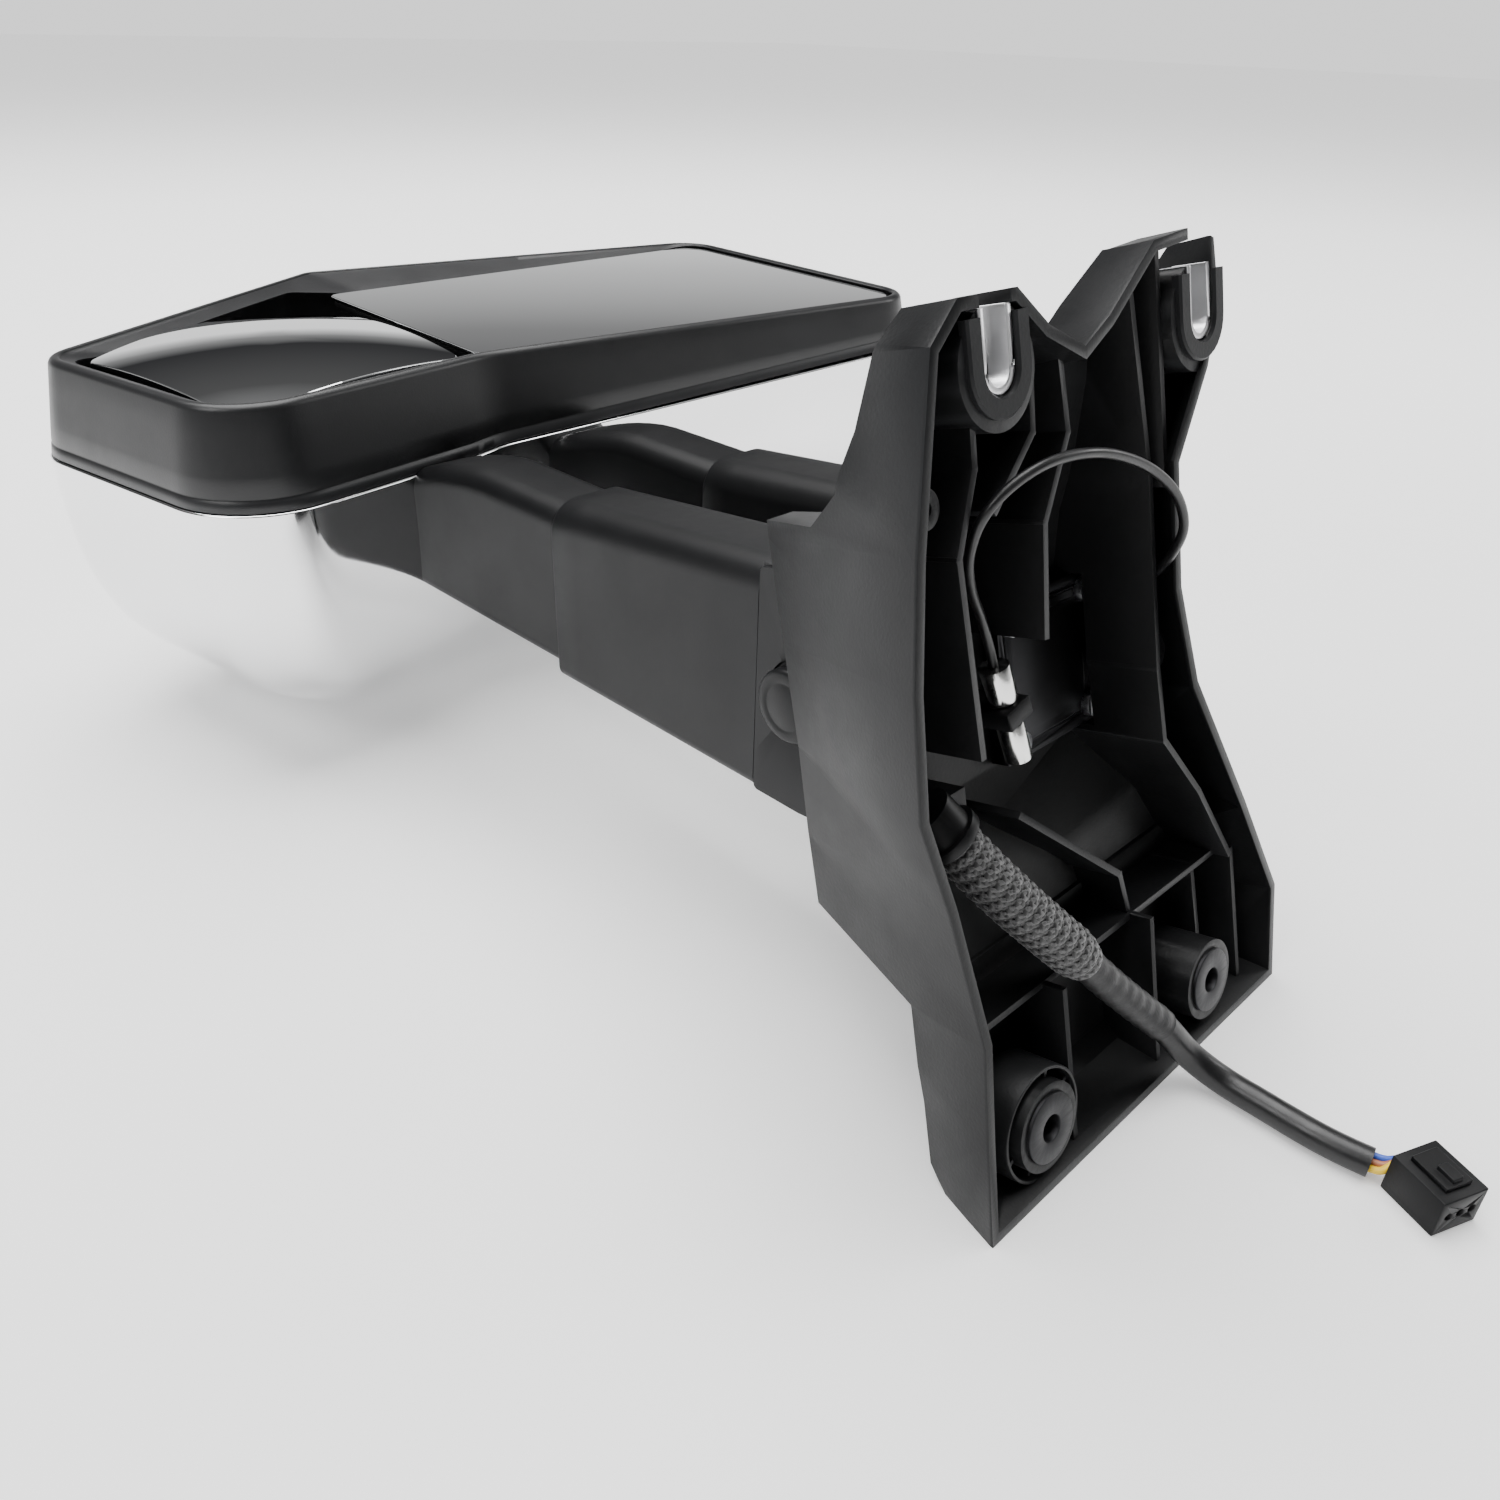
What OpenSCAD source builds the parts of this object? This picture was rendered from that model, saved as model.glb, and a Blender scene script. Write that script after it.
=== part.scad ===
// Telescoping, manually folding twin-arm towing mirror, left-hand side, lying on its back.
// Origin: centre of the lower near fixing bore, on the plane that meets the door.
// +X runs along the head from the spotter end, +Y points away from the door, +Z is the glass side.

/* [Head] */
// Height of the rim plane above the lower fixing bore
rim_z = 145; // [140:1:150]
// Distance from the lower fixing bore to the inboard corner of the rim, across the door
rim_y = 339; // [335:1:345]
// Thickness of the plastic shells
wall = 3; // [2:0.5:3.5]
// How far the bezel wall flares out for each millimetre of its depth
flare = 0.2; // [0.1:0.05:0.25]
// Thickness of the mirror glass
glass_t = 2.2; // [1.8:0.2:3]
// Radius of the convex spotter glass
spotter_r = 450; // [350:10:600]

/* [Arms] */
// Width of one arm cover
arm_w = 40; // [38:1:42]
// Distance between the two arms
arm_pitch = 75; // [74:1:76]
// Radius of the round arm tubes
tube_r = 11; // [10:0.5:12]
// How far the head slides out
extension = 80; // [60:5:80]

/* [Base] */
// Angle of the door face from upright
base_tilt = 15; // [12:1:16]
// Distance between the two fixing columns
fix_pitch = 95; // [93:1:97]
// Height of the slot bottoms above the lower bores, along the door face
slot_h = 214; // [212:1:216]
// Diameter of the fixing studs' holes
fix_d = 8.5; // [6.5:0.5:9]
// Diameter of the pivot pin
pin_d = 12; // [10:1:14]

/* [Hidden] */

black = "#1d1e20";
dark = "#2b2c2e";
steel = "#b9bcc0";
cast = "#6d7074";
fit = 0.05;              // radial running clearance of every shaft
seam_z = -40;            // bezel seam below the rim, at the spotter end and the arms
seam_bend_x = 110;       // from here the seam rises
seam_rise = 16 / 300;    // rise of the seam per millimetre towards the top end
floor_z = -20;           // what the part lies on
head_shift = [-68, rim_y, rim_z];

// ---- outlines ----
function unit(v) = v / norm(v);
function corner(a, p, b, r, n) =
    let (u = unit(a - p), w = unit(b - p), half = acos(u * w) / 2,
         c = p + unit(u + w) * r / sin(half), s = p + u * r / tan(half), e = p + w * r / tan(half),
         from = atan2(s.y - c.y, s.x - c.x), to = atan2(e.y - c.y, e.x - c.x),
         turn = ((to - from + 540) % 360) - 180)
    [for (i = [0:n]) c + r * [cos(from + turn * i / n), sin(from + turn * i / n)]];
function rounded(pts, radii, n = 6) = let (m = len(pts))
    [for (i = [0:m - 1]) each corner(pts[(i + m - 1) % m], pts[i], pts[(i + 1) % m], radii[i], n)];
function left(v) = [-v.y, v.x];
// moves every side of a counter-clockwise outline inwards by d
function inset(pts, d) = let (m = len(pts))
    [for (i = [0:m - 1]) let (a = left(unit(pts[i] - pts[(i + m - 1) % m])),
        b = left(unit(pts[(i + 1) % m] - pts[i]))) pts[i] + (a + b) * d / (1 + a * b)];
function raise(pts, z) = [for (p = pts) [p.x, p.y, z]];

rim_pts = [[0, 0], [128, 23], [395, -6], [413, 204], [155, 246], [-23, 132]];
rim_radii = [32, 60, 26, 24, 14, 24];
rim = rounded(rim_pts, rim_radii);
opening = rounded([[6, 7], [128, 28], [390, 1], [407, 199], [128, 210], [-13, 122]],
    [26, 50, 18, 18, 12, 14]);
main_outline = rounded([[130, 31], [388, 4], [403.5, 196], [139, 188]], [4, 16, 14, 6]);
spotter_outline = rounded([[9, 12], [122, 33], [124, 140], [76, 173], [-6, 122]], [14, 8, 10, 10, 8]);
main_pivot = [266, 102, -18];
spotter_pivot = [66, 88, -20];

// ---- solids from outlines ----
module loft(rings) {
    n = len(rings[0]);
    m = len(rings);
    polyhedron(points = [for (r = rings) each r], faces = concat(
        [[for (i = [n - 1:-1:0]) i]], [[for (i = [0:n - 1]) (m - 1) * n + i]],
        [for (k = [0:m - 2], i = [0:n - 1]) [k * n + i, k * n + (i + 1) % n, (k + 1) * n + i]],
        [for (k = [0:m - 2], i = [0:n - 1])
            [k * n + (i + 1) % n, (k + 1) * n + (i + 1) % n, (k + 1) * n + i]]));
}
module slab(pts, z0, z1) {
    translate([0, 0, z0]) linear_extrude(z1 - z0) polygon(pts);
}
module at_head() {
    translate(head_shift) children();
}
module at_base() {
    rotate([-base_tilt, 0, 0]) children();
}
// base frame: a drawing in (along the door, up the door) is pushed away from the door
module from_door(v0, v1) {
    translate([0, v1, 0]) rotate([90, 0, 0]) linear_extrude(v1 - v0) children();
}
// base frame: a drawing in (away from the door, up the door) is pushed along X
module along_x(x0, x1) {
    translate([x0, 0, 0]) rotate([90, 0, 90]) linear_extrude(x1 - x0) children();
}
module x_cylinder(r, x0, x1, sides = 64) {
    translate([x0, 0, 0]) rotate([0, 90, 0]) cylinder(r = r, h = x1 - x0, $fn = sides);
}
module y_cylinder(r, y0, y1, sides = 64) {
    translate([0, y1, 0]) rotate([90, 0, 0]) cylinder(r = r, h = y1 - y0, $fn = sides);
}
module tube_along(points, radius, sides) {
    n = len(points);
    tangents = [for (i = [0:n - 1]) unit(points[min(i + 1, n - 1)] - points[max(i - 1, 0)])];
    loft([for (i = [0:n - 1]) let (t = tangents[i], side = unit(cross(t, [0.31, 0.2, 0.93])),
        up = cross(side, t)) [for (k = [0:sides - 1])
            points[i] + radius * (side * cos(360 * k / sides) + up * sin(360 * k / sides))]]);
}
// smooth points through hand-chosen route points
function spline(a, b, c, d, t) = 0.5 * (2 * b + (c - a) * t + (2 * a - 5 * b + 4 * c - d) * t * t
    + (3 * b - a - 3 * c + d) * t * t * t);
function smooth(p, n) = let (m = len(p)) concat([for (i = [0:m - 2], k = [0:n - 1])
    spline(p[max(i - 1, 0)], p[i], p[i + 1], p[min(i + 2, m - 1)], k / n)], [p[m - 1]]);

// ---- head ----
module above_seam(shift) {
    rotate([90, 0, 0]) translate([0, 0, -320]) linear_extrude(400)
        polygon([[-60, 20], [-60, seam_z + shift], [seam_bend_x, seam_z + shift],
            [480, seam_z + shift + (480 - seam_bend_x) * seam_rise], [480, 20]]);
}
module bezel() {
    depth = -seam_z;
    color(black) at_head() difference() {
        intersection() {
            loft([raise(inset(rim, 1.8), 0), raise(inset(rim, 1), -1.2),
                raise(inset(rim, -flare * (depth + 4)), -depth - 4)]);
            above_seam(0);
        }
        slab(opening, -8, 1);
        loft([raise(inset(rim, wall + 1), -5), raise(inset(rim, wall - flare * (depth + 7)), -depth - 7)]);
    }
}
cap_end = [150, 118];    // the cap's lowest point, seen from above
function cap_power(x) = 3.2 - 1.2 * min(1, max(0, (x + 25) / 420));
function cap_ring(step, steps, thick) = let (a = 90 * step / steps, low = floor_z - rim_z + thick)
    [for (p = inset(rim, thick + flare * seam_z))
        let (q = 2 / cap_power(p.x), top = seam_z + max(0, p.x - seam_bend_x) * seam_rise,
             s = pow(cos(a), q), d = pow(sin(a), q))
        [cap_end.x + (p.x - cap_end.x) * s, cap_end.y + (p.y - cap_end.y) * s, top + (low - top) * d]];
module cap_solid(thick, steps) {
    rim_line = inset(rim, thick + flare * seam_z);
    low = floor_z - rim_z + thick;
    loft([raise(rim_line, 2), for (k = [0:steps - 1]) cap_ring(k, steps, thick),
        [for (p = rim_line) [cap_end.x + (p.x - cap_end.x) * 0.1, cap_end.y + (p.y - cap_end.y) * 0.1, low]]]);
}
module snap_tabs(gap) {
    translate([243 - gap, 3.8, -46 - gap]) cube([14 + 2 * gap, 12, 4 + 2 * gap]);
    translate([263 - gap, 221, -46 - gap]) cube([14 + 2 * gap, 12.2, 4 + 2 * gap]);
    translate([-17, 60 - gap, -46 - gap]) cube([12, 12 + 2 * gap, 4 + 2 * gap]);
    translate([396, 95 - gap, -46 - gap]) cube([11.5, 12 + 2 * gap, 4 + 2 * gap]);
}
module chrome_cap() {
    color("#e8e9eb") at_head() difference() {
        cap_solid(0, 12);
        cap_solid(wall, 12);
        above_seam(-0.3);
        for (k = [0, 1]) translate([72 + k * arm_pitch, -60, -95]) cube([arm_w + 2, 120, 63]);
        translate([110, -60, -78]) cube([40, 110, 60]);
        snap_tabs(0.2);
    }
}
screw_y = [32, 68];
module head_frame() {
    color(dark) at_head() difference() {
        union() {
            slab(inset(rim, 1), -46, -42);
            snap_tabs(0);
            for (k = [0, 1]) translate([near_x + 2 + k * arm_pitch, 20, sleeve_top]) cube([arm_w - 4, 60, 3]);
        }
        slab(rounded([[20, 20], [46, 24], [46, 150], [0, 120]], [8, 8, 8, 8]), -50, -40);
        slab(rounded([[88, 96], [205, 96], [205, 216], [150, 220], [88, 190]], [8, 8, 8, 8, 8]), -50, -40);
        slab(rounded([[330, 18], [385, 14], [398, 190], [330, 200]], [8, 8, 8, 8]), -50, -40);
        translate([near_x - 1, 0, -52]) cube([arm_w + 2, 18.6, 12]);
        screw_holes(0.1);
    }
}
module screw_holes(gap) {
    for (k = [0, 1], y = screw_y) translate([near_x + arm_w / 2 + k * arm_pitch, y, -56])
        cylinder(r = 2 + gap, h = 15, $fn = 32);
    for (x = [-40, 40], y = [-27, 27]) translate([main_pivot.x + x, main_pivot.y + y, -48])
        cylinder(r = 1.5 + gap, h = 10, $fn = 32);
}
module frame_screws() {
    color(steel) at_head() {
        screw_holes(0);
        for (k = [0, 1], y = screw_y) translate([near_x + arm_w / 2 + k * arm_pitch, y, -42])
            cylinder(r = 4, h = 2.4, $fn = 32);
        for (x = [-40, 40], y = [-27, 27]) translate([main_pivot.x + x, main_pivot.y + y, -48.4])
            cylinder(r = 3, h = 2.4, $fn = 32);
    }
}

// ---- glass adjusters ----
// ring with pins along X and Y, centred on the pivot
module gimbal_ring(outer, inner, tall, pin_r, reach) {
    difference() {
        cylinder(r = outer, h = tall, center = true, $fn = 64);
        cylinder(r = inner, h = tall + 1, center = true, $fn = 64);
    }
    for (a = [0:90:270]) rotate([0, 90, a]) translate([0, 0, outer - 1.5])
        cylinder(r = pin_r, h = reach - outer + 1.5, $fn = 48);
}
// a pair of ears across the axis along X, each with a bore for a gimbal pin
module ears(near, far, wide, low, high, bore_r) {
    for (side = [0, 180]) rotate([0, 0, side]) difference() {
        translate([near, -wide / 2, low]) cube([far - near, wide, high - low]);
        rotate([0, 90, 0]) translate([0, 0, near - 1]) cylinder(r = bore_r, h = far - near + 2, $fn = 48);
    }
}
lid_z = -29;
module main_actuator() {
    color(dark) at_head() difference() {
        translate([main_pivot.x - 48, main_pivot.y - 34, -42]) cube([96, 68, lid_z + 42]);
        translate([main_pivot.x - 33, main_pivot.y - 32, -40]) cube([66, 64, 20]);
        for (x = [-40, 40], y = [-27, 27]) translate([main_pivot.x + x, main_pivot.y + y, -43])
            cylinder(r = 1.6, h = 5.2, $fn = 32);
    }
}
module actuator_lid() {
    color(black) at_head() translate(main_pivot) {
        translate([-48, -34, lid_z + 18]) cube([96, 68, 2]);
        ears(22, 28, 12, lid_z + 20, 5, 2 + fit);
    }
}
module tilt_motors() {
    color(steel) at_head() for (y = [-16, 16]) translate([main_pivot.x - 24, main_pivot.y + y, -34.8])
        rotate([0, 90, 0]) {
            cylinder(r = 5, h = 34, $fn = 48);
            cylinder(r = 1.5, h = 46, $fn = 32);
        }
}
module main_gimbal() {
    color(steel) at_head() translate(main_pivot) gimbal_ring(20, 14, 5, 2, 27.5);
}
glass_z = -2;
module main_backing() {
    color(dark) at_head() {
        slab(inset(main_outline, 1.5), glass_z - glass_t - 4, glass_z - glass_t - 0.6);
        translate(main_pivot) rotate([0, 0, 90]) ears(22, 28, 12, -4.5, glass_z - glass_t - 4 + 18, 2 + fit);
    }
}
module main_heater() {
    color("#5d5f62") at_head() slab(inset(main_outline, 3.5), glass_z - glass_t - 0.6, glass_z - glass_t);
}
module main_glass() {
    color("#c9ccd0") at_head() slab(main_outline, glass_z - glass_t, glass_z);
}
module spotter_base() {
    color(black) at_head() translate(spotter_pivot) {
        translate([-24, -22, -22]) cube([46, 44, 12]);
        ears(16, 21, 10, -10, 4, 1.5 + fit);
    }
}
module spotter_gimbal() {
    color(steel) at_head() translate(spotter_pivot) gimbal_ring(14, 9, 4, 1.5, 20.5);
}
crown = 4;               // height of the spotter's crown above the rim
module spotter_ball(r) {
    translate([spotter_pivot.x, spotter_pivot.y, crown - spotter_r]) sphere(r = r, $fn = 300);
}
module spotter_glass() {
    color("#c9ccd0") at_head() difference() {
        intersection() {
            slab(spotter_outline, -14, 6);
            spotter_ball(spotter_r);
        }
        spotter_ball(spotter_r - glass_t);
    }
}
module spotter_backing() {
    color(dark) at_head() {
        intersection() {
            slab(inset(spotter_outline, 1.5), -12, 6);
            spotter_ball(spotter_r - glass_t - fit);
        }
        translate(spotter_pivot) rotate([0, 0, 90]) ears(16, 21, 10, -4, 9, 1.5 + fit);
    }
}

// ---- arms ----
near_x = 73;             // inner face of the near arm
arm_low = -94;           // underside of the arms
seam_y = -97;            // mouth of the arm covers
root_y = -206;           // where the covers meet the yoke
pivot_y = -225;
pivot_z = -52;
knuckle_r = 41;
sleeve_top = -49;        // top of the sleeves inside the head
sleeve_end = -193;
tube_z = -58;
stop_y = seam_y - 4.7 + extension;   // collar that meets the front bush when fully out
module arm_section(w, low, high, y, r, thin = 0.5) {
    translate([w / 2, y, (low + high) / 2]) rotate([90, 0, 0]) linear_extrude(thin)
        polygon(rounded([[-w / 2, (low - high) / 2], [w / 2, (low - high) / 2],
            [w / 2, (high - low) / 2], [-w / 2, (high - low) / 2]], [5, 5, r, r], 5));
}
module arm_cover() {
    color(black) difference() {
        hull() {
            arm_section(arm_w, arm_low, -23, seam_y, 12);
            arm_section(arm_w, arm_low + 0.5, -12, root_y + 0.5, 10);
        }
        translate([2.5, 0, 0]) hull() {
            arm_section(arm_w - 5, arm_low + 2.5, -25.5, seam_y + 1, 9.5);
            arm_section(arm_w - 5, arm_low + 2.5, -14.5, root_y - 0.5, 8);
        }
    }
}
module arm_sleeve() {
    color(black) difference() {
        union() {
            translate([3, 0, 0]) hull() {
                arm_section(arm_w - 6, arm_low + 3, -26, seam_y + 2, 9);
                arm_section(arm_w - 6, arm_low + 3, -26, sleeve_end + 0.5, 9);
            }
            translate([3, 0, 0]) hull() {
                arm_section(arm_w - 6, arm_low + 3, -26, seam_y + 2, 9);
                arm_section(arm_w - 6, arm_low + 3, -42, 18, 9);
            }
            translate([3, 10, arm_low + 3]) cube([arm_w - 6, 70, sleeve_top - arm_low - 3]);
        }
        translate([5.5, sleeve_end - 1, arm_low + 5.5]) cube([arm_w - 11, 20 - sleeve_end, 35]);
        translate([5.5, sleeve_end - 1, arm_low + 25]) cube([arm_w - 11, seam_y - sleeve_end - 4, 40.5]);
        translate([5.5, sleeve_end - 1, arm_low + 25]) cube([arm_w - 11, 20 - sleeve_end, 26]);
        for (y = screw_y) translate([arm_w / 2, y, -60]) cylinder(r = 2.1, h = 15, $fn = 32);
    }
}
module slide_bushes() {
    color("#d9d6cc") at_head() for (k = [0, 1], y = [sleeve_end + 1, seam_y - 19]) difference() {
        translate([near_x + 5.5 + k * arm_pitch, y, arm_low + 5.5]) cube([arm_w - 11, 14, 60]);
        translate([near_x + arm_w / 2 + k * arm_pitch, 0, tube_z]) y_cylinder(tube_r + fit, y - 1, y + 15);
    }
}
module arm_tube() {
    color(steel) difference() {
        y_cylinder(tube_r, -214, -8);
        y_cylinder(tube_r - 2, -215, -7);
    }
}
module tube_stops() {
    color(cast) at_head() for (k = [0, 1]) translate([near_x + arm_w / 2 + k * arm_pitch, 0, tube_z]) difference() {
        y_cylinder(14, stop_y, stop_y + 6);
        y_cylinder(tube_r, stop_y - 1, stop_y + 7);
    }
}
module knuckle() {
    difference() {
        translate([1.5, pivot_y, pivot_z]) x_cylinder(knuckle_r - 0.5, 0, arm_w - 3, 96);
        translate([0, root_y - 0.5, pivot_z - 50]) cube([arm_w, 40, 100]);
    }
    translate([1.5, pivot_y, arm_low + 1.5]) cube([arm_w - 3, root_y - pivot_y - 0.5, 81]);
    translate([5, root_y - 1, arm_low + 4]) cube([arm_w - 10, 11, 70]);
}
module yoke() {
    color(black) at_head() difference() {
        union() {
            for (k = [0, 1]) translate([near_x + k * arm_pitch, 0, 0]) knuckle();
            translate([near_x + 20, -216, arm_low + 2]) cube([arm_pitch, 9, 10]);
        }
        translate([near_x - 5, pivot_y, pivot_z]) x_cylinder(pin_d / 2 + fit, 0, arm_pitch + arm_w + 10);
        for (k = [0, 1]) translate([near_x + arm_w / 2 + k * arm_pitch, 0, tube_z]) y_cylinder(tube_r, -214, -190);
    }
}
module pivot_ring(x, wide, r) {
    at_head() translate([x, pivot_y, pivot_z]) difference() {
        x_cylinder(r, 0, wide);
        x_cylinder(pin_d / 2 + fit, -1, wide + 1);
    }
}
module detent_ring() {
    color(cast) pivot_ring(111.6, 3, 18);
}
module pivot_washers() {
    color(steel) {
        pivot_ring(114.8, 3.1, 18);
        pivot_ring(70.6, 3.4, 12);
        pivot_ring(187.2, 1.2, 12);
    }
}
module disc_springs() {
    color(steel) for (s = [-1, 1]) at_head() translate([146.25 + s * 0.1, pivot_y, pivot_z])
        rotate([0, 90 * s, 0]) difference() {
            cylinder(r1 = 16, r2 = 10, h = 2.6, $fn = 64);
            translate([0, 0, -1.2]) cylinder(r1 = 16, r2 = 10, h = 2.6, $fn = 64);
            translate([0, 0, -1]) cylinder(r = pin_d / 2 + fit, h = 5, $fn = 64);
        }
}
module pivot_pin() {
    color(steel) at_head() translate([0, pivot_y, pivot_z]) {
        x_cylinder(pin_d / 2, 67.5, 193);
        translate([67, 0, 0]) rotate([0, 90, 0]) cylinder(r = 10, h = 2.5, $fn = 6);
    }
}
module pivot_nut() {
    color(steel) at_head() translate([188.5, pivot_y, pivot_z]) difference() {
        rotate([0, 90, 0]) cylinder(r = 10, h = 3.5, $fn = 6);
        x_cylinder(pin_d / 2, -1, 6);
    }
}

// ---- door base, in the base frame: X along the door, Y away from it, Z up the door face ----
door_outline = [[-32, -23], [139, -23], [142, 15], [121, 56], [92, 108], [84, 140], [85, 176], [103, 200],
    [110, 217], [108, 234], [98, 238], [76, 236], [53, 220], [41, 214], [26, 221], [14, 231], [-9, 231],
    [-20, 222], [-32, 177], [-38, 146], [-41, 114], [-34, 86], [-26, 42], [-29, 12]];
far_outline = [[-14, -15], [128, -15], [135, 15], [150, 56], [150, 108], [150, 140], [150, 176], [112, 200],
    [100, 217], [98, 232], [92, 234], [76, 234], [53, 214], [41, 206], [26, 214], [14, 229], [-6, 229],
    [-11, 222], [-13, 177], [-13, 146], [-13, 114], [-14, 86], [-14, 42], [-14, 12]];
base_depth = 70;
slot_x = 5;              // first slot's centre, from the lower bore
pivot_v = (rim_y + pivot_y) * cos(base_tilt) - (rim_z + pivot_z) * sin(base_tilt);
pivot_h = (rim_y + pivot_y) * sin(base_tilt) + (rim_z + pivot_z) * cos(base_tilt);
pocket_x = [-3, 131];    // between the two cheeks
function side_profile(door) = [[door, -20.7 + door * 0.268], [20, -15.34], [26, -8], [28, 20], [30, 43], [70, 62],
    [68, 181], [45, 181], [32, 190], [24, 205], [19, 222], [15, 238], [8, 246], [door, 246.5]];
pocket_profile = [[42, 92], [38, 78], [32, 62], [31, 40], [31, -60], [200, -60], [200, 270], [20, 270],
    [20, 222], [24, 203], [30, 185], [38, 165], [42, 146]];
module base_pocket(grow) {
    solid_cheek = grow > 0 ? 60 : 0;    // the cheek beside the top end is not hollow
    along_x(pocket_x[0] - grow, pocket_x[1] + solid_cheek) polygon(inset(pocket_profile, -grow));
}
module base_block(thick, door) {
    difference() {
        intersection() {
            loft([for (v = [door - 6, 1]) [for (q = inset(door_outline, thick)) [q.x, v, q.y]],
                [for (q = inset(far_outline, thick)) [q.x, base_depth, q.y]]]);
            along_x(-60, 170) polygon(inset(side_profile(door - thick), thick));
        }
        base_pocket(thick);
    }
}
module rib(points, v0) {
    from_door(v0, base_depth) for (i = [0:len(points) - 2]) {
        run = points[i + 1] - points[i];
        translate(points[i]) rotate(atan2(run.y, run.x)) translate([-0.8, -1.1]) square([norm(run) + 1.6, 2.2]);
    }
}
module base_ribs() {
    rib([[-45, 37], [155, 35]], 11);
    rib([[17, -30], [17, 36]], 4);
    rib([[66, -30], [66, 36]], 4);
    rib([[106, 36], [112, -30]], 12);
    rib([[122, 36], [126, -30]], 6);
    rib([[-1, 228], [-3, 192], [-12, 172], [-10, 120]], 4);
    rib([[25, 226], [23, 196], [5, 180]], 5);
    rib([[38, 220], [40, 193], [27, 172], [24, 142]], 6);
    rib([[70, 240], [78, 173], [78, 116]], 5);
    rib([[84, 236], [85, 170]], 4);
    rib([[78, 116], [80, 92], [100, 67], [119, 36]], 5);
    rib([[90, 82], [129, 36]], 22);
    rib([[14, 92], [62, 52], [66, 36]], 12);
}
module bosses() {
    for (k = [0, 1]) {
        translate([k * fix_pitch, 0, 0]) y_cylinder(14, 1, 40);
        translate([slot_x + k * fix_pitch, 0, slot_h]) y_cylinder(15, 1, 40);
    }
    translate([83, 0, 119]) y_cylinder(6, 9, 60);
    translate([-20, 0, 186]) y_cylinder(5, 6, 60);
}
module slot_cut(r, v0, v1) {
    from_door(v0, v1) for (k = [0, 1]) translate([slot_x + k * fix_pitch, slot_h]) {
        circle(r = r, $fn = 48);
        translate([-r, 0]) square([2 * r, 40]);
    }
}
module base_shell() {
    color(black) at_base() difference() {
        union() {
            difference() {
                base_block(0, 0);
                base_block(wall, -4);
            }
            intersection() {
                base_block(wall - 0.2, 0);
                union() {
                    base_ribs();
                    bosses();
                }
            }
        }
        for (k = [0, 1]) translate([k * fix_pitch, 0, 0]) y_cylinder(11, -1, 20);
        slot_cut(fix_d / 2 + 2, -1, 40);
        translate([49.5, 30, 98]) cube([26, 20, 42]);
        bracket_holes(0.1, 30, 60);
        translate([37.8, 29, 93.8]) cube([50.4, 10.05, 50.4]);
        translate([83, 0, 119]) y_cylinder(2, 5, 28);
        translate([-20, 0, 186]) y_cylinder(2, 5, 16);
    }
}
module bracket_holes(gap, v0, v1) {
    for (x = [43, 82], h = [100, 138]) translate([x, 0, h]) y_cylinder(2 + gap, v0, v1, 32);
}
module pivot_bracket() {
    color(cast) at_base() difference() {
        union() {
            translate([38, 33, 94]) cube([50, 6, 50]);
            translate([50, 33, 100]) cube([25, pivot_v - 33, 38]);
            translate([0, pivot_v, pivot_h]) x_cylinder(24, 50, 75, 96);
        }
        translate([0, pivot_v, pivot_h]) x_cylinder(pin_d / 2, 45, 80);
        bracket_holes(0.1, 30, 60);
    }
}
module bracket_screws() {
    color(steel) at_base() {
        bracket_holes(0, 32, 42);
        for (x = [43, 82], h = [100, 138]) translate([x, 0, h]) y_cylinder(4, 30.2, 33, 32);
    }
}
module slot_inserts() {
    color("#d2d4d6") at_base() difference() {
        intersection() {
            slot_cut(fix_d / 2 + 2, 0.5, 11);
            translate([-50, 0, 0]) cube([300, 40, slot_h + 14]);
        }
        slot_cut(fix_d / 2, -1, 40);
    }
}
module fixing_bushes() {
    color(cast) at_base() for (k = [0, 1]) translate([k * fix_pitch, 0, 0]) difference() {
        y_cylinder(11, 0, 20);
        y_cylinder(fix_d / 2, -1, 21);
    }
}

// ---- loom and antenna lead ----
loom_route = [[-8, 43, 84], [2, 32, 69], [13, 23, 55], [25, 15, 41], [36, 9, 28], [47, 4, 16], [58, -2, 4],
    [66, -9, -8], [70, -20, -14], [71, -34, -15.2], [71, -48, -15.2], [71.8, -58, -15.2], [73.4, -67, -15.2]];
loom = smooth(loom_route, 2);
braid_end = 6;           // index along the loom where each layer ends
wrap_end = 12;
function part_of(list, a, b) = [for (i = [a:b]) list[i]];
module harness_gland() {
    d = unit(loom_route[0] - loom_route[1]);
    color(black) {
        translate(loom_route[0]) rotate([0, acos(d.z), atan2(d.y, d.x)]) {
            cylinder(r = 10, h = 3, $fn = 48);
            cylinder(r = 8.5, h = 12, $fn = 48);
        }
        at_base() translate([-5.5, 24, 93]) cube([11, 15, 9]);
    }
}
module harness_braid() {
    color("#3a3b3d") tube_along(part_of(loom, 0, braid_end), 8, 12);
}
module harness_wrap() {
    color(black) tube_along(part_of(loom, braid_end, wrap_end), 5.5, 10);
}
module harness_cable() {
    color(black) tube_along(part_of(loom, wrap_end, len(loom) - 1), 4.7, 10);
}
plug_turn = -22.5;
module at_plug() {
    translate([79.4, -75, floor_z]) rotate([0, 0, plug_turn]) children();
}
module connector_shell() {
    color(black) at_plug() difference() {
        translate([-8.5, -19, 0]) cube([17, 19, 13.6]);
        translate([-6.8, -7, 2.5]) cube([13.6, 8, 9]);
        for (x = [-4.5:4.5:4.5]) translate([x, 0, 6.8]) y_cylinder(1.3, -20, 1, 16);
    }
}
module connector_latch() {
    color(dark) at_plug() {
        translate([-5, -16, 13.6]) cube([10, 13, 1.6]);
        translate([-2, -15, 15.2]) cube([4, 6, 1.4]);
    }
}
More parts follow.
